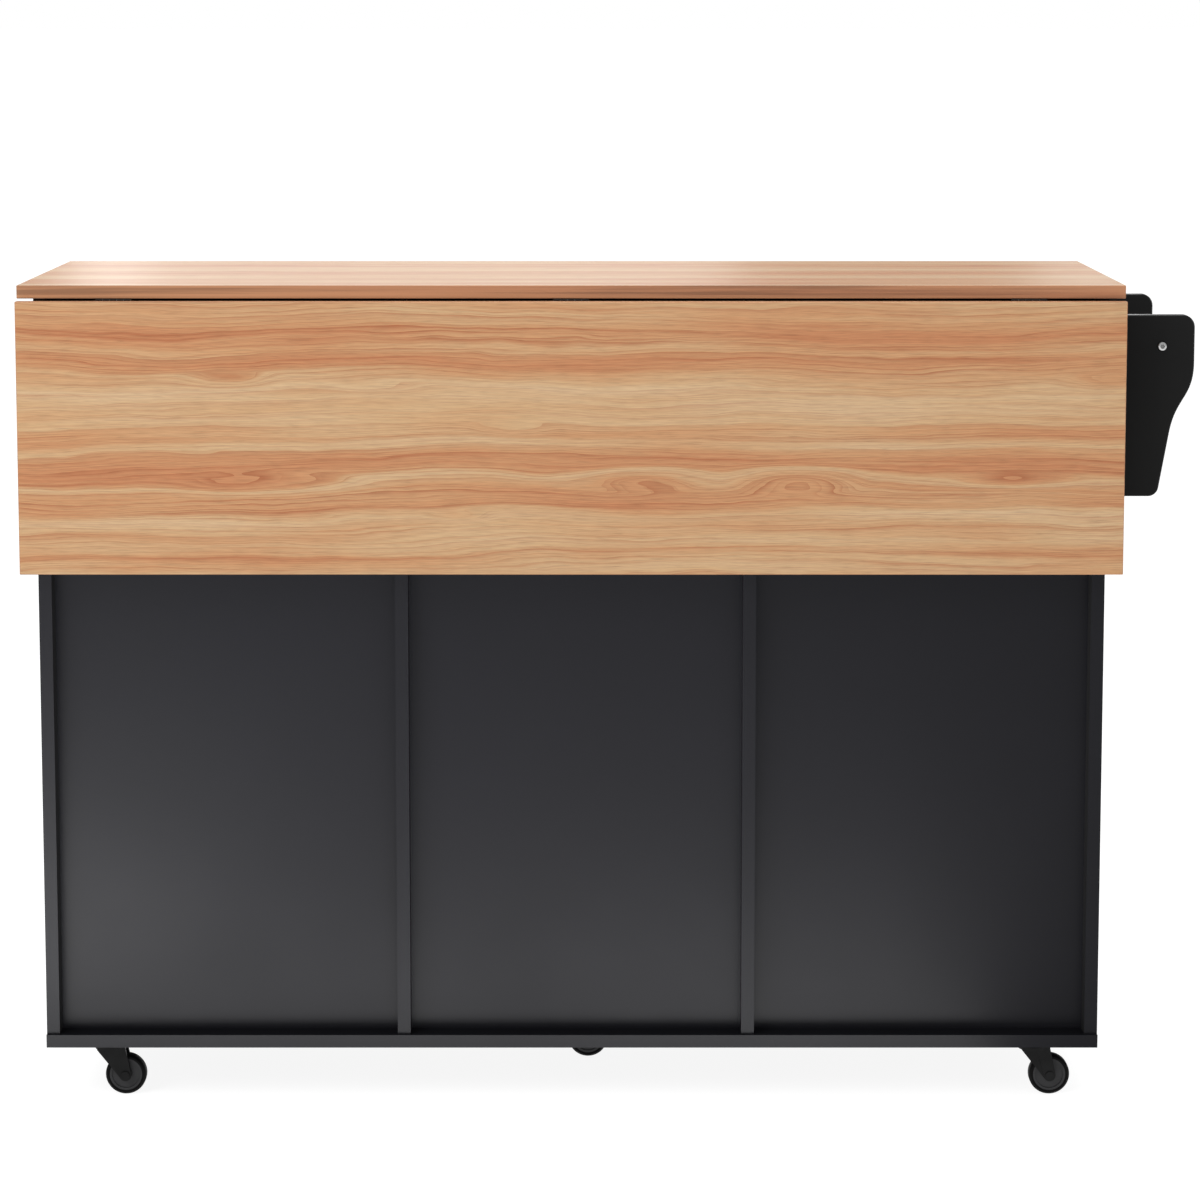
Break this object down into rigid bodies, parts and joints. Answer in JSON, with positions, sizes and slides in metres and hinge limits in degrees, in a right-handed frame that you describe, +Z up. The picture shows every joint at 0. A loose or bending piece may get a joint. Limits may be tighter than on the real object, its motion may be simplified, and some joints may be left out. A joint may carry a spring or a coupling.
{
  "type": "kitchen island",
  "caption": "Rolling kitchen island: wood worktop with a hinged drop leaf, black cabinet with doors, drawers and open shelves, a side rack with a towel rod, on swivel casters.",
  "frame": {"origin": "on the floor below the middle of the cabinet", "axes": "+X along the worktop to the side rack, -Y to the drop-leaf side, +Y to the door side, +Z up"},
  "size_m": [1.3462, 0.5135, 0.956],
  "materials": {
    "oak": "matte",
    "black_board": "matte",
    "steel": "satin",
    "black_metal": "satin",
    "black_plastic": "matte",
    "hub": "satin",
    "tyre": "matte"
  },
  "bodies": {
    "cabinet": {"worktop": "oak", "bottom_panel": "black_board", "left_side_panel": "black_board", "right_side_panel": "black_board", "left_divider": "black_board", "right_divider": "black_board", "left_back_panel": "black_board", "middle_back_panel": "black_board", "right_back_panel": "black_board", "left_drawer_shelf": "black_board", "right_drawer_shelf": "black_board", "middle_shelves": "black_board", "loose_shelves": "black_board", "rack_near_bracket": "black_board", "rack_far_bracket": "black_board", "rack_shelf": "black_board", "shelf_pins": "steel", "hinge_pins": "steel", "door_hinge_plates": "steel", "drawer_runners": "steel", "towel_rod": "steel", "towel_rod_bolts": "steel", "rack_guard_rail": "steel", "strut_pivot_bolts": "steel", "worktop_hinge_plates": "black_metal", "caster_plates": "black_metal"},
    "leaf": {"drop_leaf": "oak", "leaf_hinge_plates": "black_metal", "leaf_rest_blocks": "black_plastic"},
    "left_strut": {"left_leaf_strut": "black_metal"},
    "right_strut": {"right_leaf_strut": "black_metal"},
    "left_drawer_body": {"left_drawer_front": "black_board", "left_drawer_box": "black_board", "left_drawer_handle": "steel", "left_drawer_slides": "steel"},
    "left_door_body": {"left_door": "black_board", "left_door_handle": "steel", "left_door_hinge_plates": "steel"},
    "right_drawer_body": {"right_drawer_front": "black_board", "right_drawer_box": "black_board", "right_drawer_handle": "steel", "right_drawer_slides": "steel"},
    "right_door_body": {"right_door": "black_board", "right_door_handle": "steel", "right_door_hinge_plates": "steel"},
    "back_left_caster": {"back_left_fork": "black_metal"},
    "back_left_wheel": {"back_left_hub": "hub", "back_left_tyre": "tyre"},
    "back_right_caster": {"back_right_fork": "black_metal"},
    "back_right_wheel": {"back_right_hub": "hub", "back_right_tyre": "tyre"},
    "middle_caster": {"middle_fork": "black_metal"},
    "middle_wheel": {"middle_hub": "hub", "middle_tyre": "tyre"},
    "front_left_caster": {"front_left_fork": "black_metal"},
    "front_left_wheel": {"front_left_hub": "hub", "front_left_tyre": "tyre"},
    "front_right_caster": {"front_right_fork": "black_metal"},
    "front_right_wheel": {"front_right_hub": "hub", "front_right_tyre": "tyre"}
  },
  "joints": [
    {"name": "leaf_fold", "type": "hinge", "parent": "cabinet", "child": "leaf", "pos_m": [0, -0.24025, 0.93875], "axis": [-1, 0, 0], "range_deg": [0, 90]},
    {"name": "left_strut_swing", "type": "hinge", "parent": "cabinet", "child": "left_strut", "pos_m": [0, -0.208, 0.82875], "axis": [-1, 0, 0], "range_deg": [0, 119]},
    {"name": "right_strut_swing", "type": "hinge", "parent": "cabinet", "child": "right_strut", "pos_m": [0, -0.208, 0.82875], "axis": [-1, 0, 0], "range_deg": [0, 119]},
    {"name": "left_drawer_slide", "type": "slide", "parent": "cabinet", "child": "left_drawer_body", "axis": [0, 1, 0], "range_m": [0, 0.3]},
    {"name": "right_drawer_slide", "type": "slide", "parent": "cabinet", "child": "right_drawer_body", "axis": [0, 1, 0], "range_m": [0, 0.3]},
    {"name": "left_door_swing", "type": "hinge", "parent": "cabinet", "child": "left_door_body", "pos_m": [-0.597, 0.2263, 0.426], "axis": [0, 0, 1], "range_deg": [0, 110]},
    {"name": "right_door_swing", "type": "hinge", "parent": "cabinet", "child": "right_door_body", "pos_m": [0.597, 0.2263, 0.426], "axis": [0, 0, -1], "range_deg": [0, 110]},
    {"name": "back_left_swivel", "type": "hinge", "parent": "cabinet", "child": "back_left_caster", "pos_m": [-0.544, -0.182, 0.056], "axis": [0, 0, 1], "continuous": true},
    {"name": "back_left_roll", "type": "hinge", "parent": "back_left_caster", "child": "back_left_wheel", "pos_m": [-0.526, -0.182, 0.024], "axis": [0, 1, 0], "continuous": true},
    {"name": "back_right_swivel", "type": "hinge", "parent": "cabinet", "child": "back_right_caster", "pos_m": [0.544, -0.182, 0.056], "axis": [0, 0, 1], "continuous": true},
    {"name": "back_right_roll", "type": "hinge", "parent": "back_right_caster", "child": "back_right_wheel", "pos_m": [0.562, -0.182, 0.024], "axis": [0, 1, 0], "continuous": true},
    {"name": "middle_swivel", "type": "hinge", "parent": "cabinet", "child": "middle_caster", "pos_m": [0, -0.003, 0.056], "axis": [0, 0, 1], "continuous": true},
    {"name": "middle_roll", "type": "hinge", "parent": "middle_caster", "child": "middle_wheel", "pos_m": [0.018, -0.003, 0.024], "axis": [0, 1, 0], "continuous": true},
    {"name": "front_left_swivel", "type": "hinge", "parent": "cabinet", "child": "front_left_caster", "pos_m": [-0.544, 0.176, 0.056], "axis": [0, 0, 1], "continuous": true},
    {"name": "front_left_roll", "type": "hinge", "parent": "front_left_caster", "child": "front_left_wheel", "pos_m": [-0.526, 0.176, 0.024], "axis": [0, 1, 0], "continuous": true},
    {"name": "front_right_swivel", "type": "hinge", "parent": "cabinet", "child": "front_right_caster", "pos_m": [0.544, 0.176, 0.056], "axis": [0, 0, 1], "continuous": true},
    {"name": "front_right_roll", "type": "hinge", "parent": "front_right_caster", "child": "front_right_wheel", "pos_m": [0.562, 0.176, 0.024], "axis": [0, 1, 0], "continuous": true}
  ],
  "couplings": [
    {"joint": "left_strut_swing", "follows": "leaf_fold", "ratio": 1.3206},
    {"joint": "right_strut_swing", "follows": "leaf_fold", "ratio": 1.3206}
  ]
}
